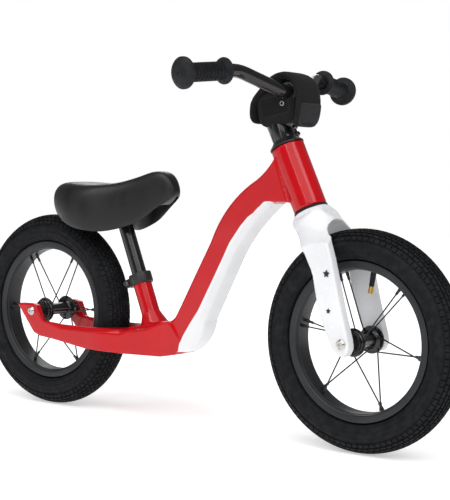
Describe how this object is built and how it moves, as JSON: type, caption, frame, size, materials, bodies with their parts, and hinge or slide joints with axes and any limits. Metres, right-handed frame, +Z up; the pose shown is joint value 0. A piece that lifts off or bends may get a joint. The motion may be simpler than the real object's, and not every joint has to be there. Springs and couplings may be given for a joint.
{
  "type": "balance bike",
  "caption": "Child's balance bike without pedals: one cast frame, steering fork and riser handlebar, air-tyred spoked wheels, padded saddle on a sliding post.",
  "frame": {"origin": "on the floor, half way between the wheels' contact points, on the plane of symmetry", "axes": "+X forward, +Y to the rider's left, +Z up"},
  "size_m": [0.8719, 0.3954, 0.5212],
  "materials": {
    "casting_paint": "gloss red and white paint on cast metal",
    "fork_paint": "gloss white paint",
    "black_gloss": "gloss black paint",
    "black_satin": "satin black paint",
    "dark_rim": "satin dark grey coating",
    "bright_steel": "plated",
    "dark_steel": "oiled",
    "tread_rubber": "matte moulded rubber",
    "tube_rubber": "matte",
    "grip_rubber": "matte moulded rubber",
    "black_plastic": "matte moulded plastic",
    "saddle_skin": "matte black artificial leather over padding",
    "saddle_plastic": "matte moulded plastic",
    "pad_cloth": "matte black cloth over padding",
    "brass": "plain"
  },
  "bodies": {
    "frame": {"frame_casting": "casting_paint", "upper_headset_bearing": "dark_steel", "lower_headset_bearing": "dark_steel", "rear_axle": "dark_steel", "rear_axle_spacers": "black_satin", "rear_axle_bolts": "bright_steel", "seat_clamp": "black_satin", "seat_clamp_bolt": "dark_steel", "seat_clamp_nut": "dark_steel"},
    "seat": {"seat_post": "black_gloss", "saddle_bracket": "black_satin", "saddle_screws": "dark_steel", "saddle_base": "saddle_plastic", "saddle_cover": "saddle_skin"},
    "steering": {"fork": "fork_paint", "steerer_tube": "dark_steel", "crown_race": "dark_steel", "crown_seal": "grip_rubber", "compression_ring": "dark_steel", "headset_cover": "black_plastic", "stem": "black_gloss", "stem_bolts": "dark_steel", "star_nut": "dark_steel", "stem_cap": "black_plastic", "stem_cap_bolt": "dark_steel", "handlebar": "black_gloss", "bar_clamp_bolt": "bright_steel", "left_grip": "grip_rubber", "right_grip": "grip_rubber", "handlebar_pad": "pad_cloth", "front_axle": "dark_steel", "front_axle_spacers": "black_satin", "front_axle_bolts": "bright_steel"},
    "front_wheel": {"front_tyre": "tread_rubber", "front_inner_tube": "tube_rubber", "front_rim": "dark_rim", "front_rim_strip": "tube_rubber", "front_spokes": "black_satin", "front_nipples": "black_satin", "front_hub": "black_gloss", "front_hub_bearings": "dark_steel", "front_valve": "tube_rubber", "front_valve_cap": "brass"},
    "rear_wheel": {"rear_tyre": "tread_rubber", "rear_inner_tube": "tube_rubber", "rear_rim": "dark_rim", "rear_rim_strip": "tube_rubber", "rear_spokes": "black_satin", "rear_nipples": "black_satin", "rear_hub": "black_gloss", "rear_hub_bearings": "dark_steel", "rear_valve": "tube_rubber", "rear_valve_cap": "brass"}
  },
  "joints": [
    {"name": "steering", "type": "hinge", "parent": "frame", "child": "steering", "pos_m": [0.2833, 0, 0.14869], "axis": [-0.4384, 0, 0.8988], "continuous": true},
    {"name": "front_wheel_spin", "type": "hinge", "parent": "steering", "child": "front_wheel", "pos_m": [0.286, 0, 0.15], "axis": [0, 1, 0], "continuous": true},
    {"name": "rear_wheel_spin", "type": "hinge", "parent": "frame", "child": "rear_wheel", "pos_m": [-0.286, 0, 0.15], "axis": [0, 1, 0], "continuous": true},
    {"name": "seat_height", "type": "slide", "parent": "frame", "child": "seat", "axis": [-0.3827, 0, 0.9239], "range_m": [0, 0.05]}
  ]
}
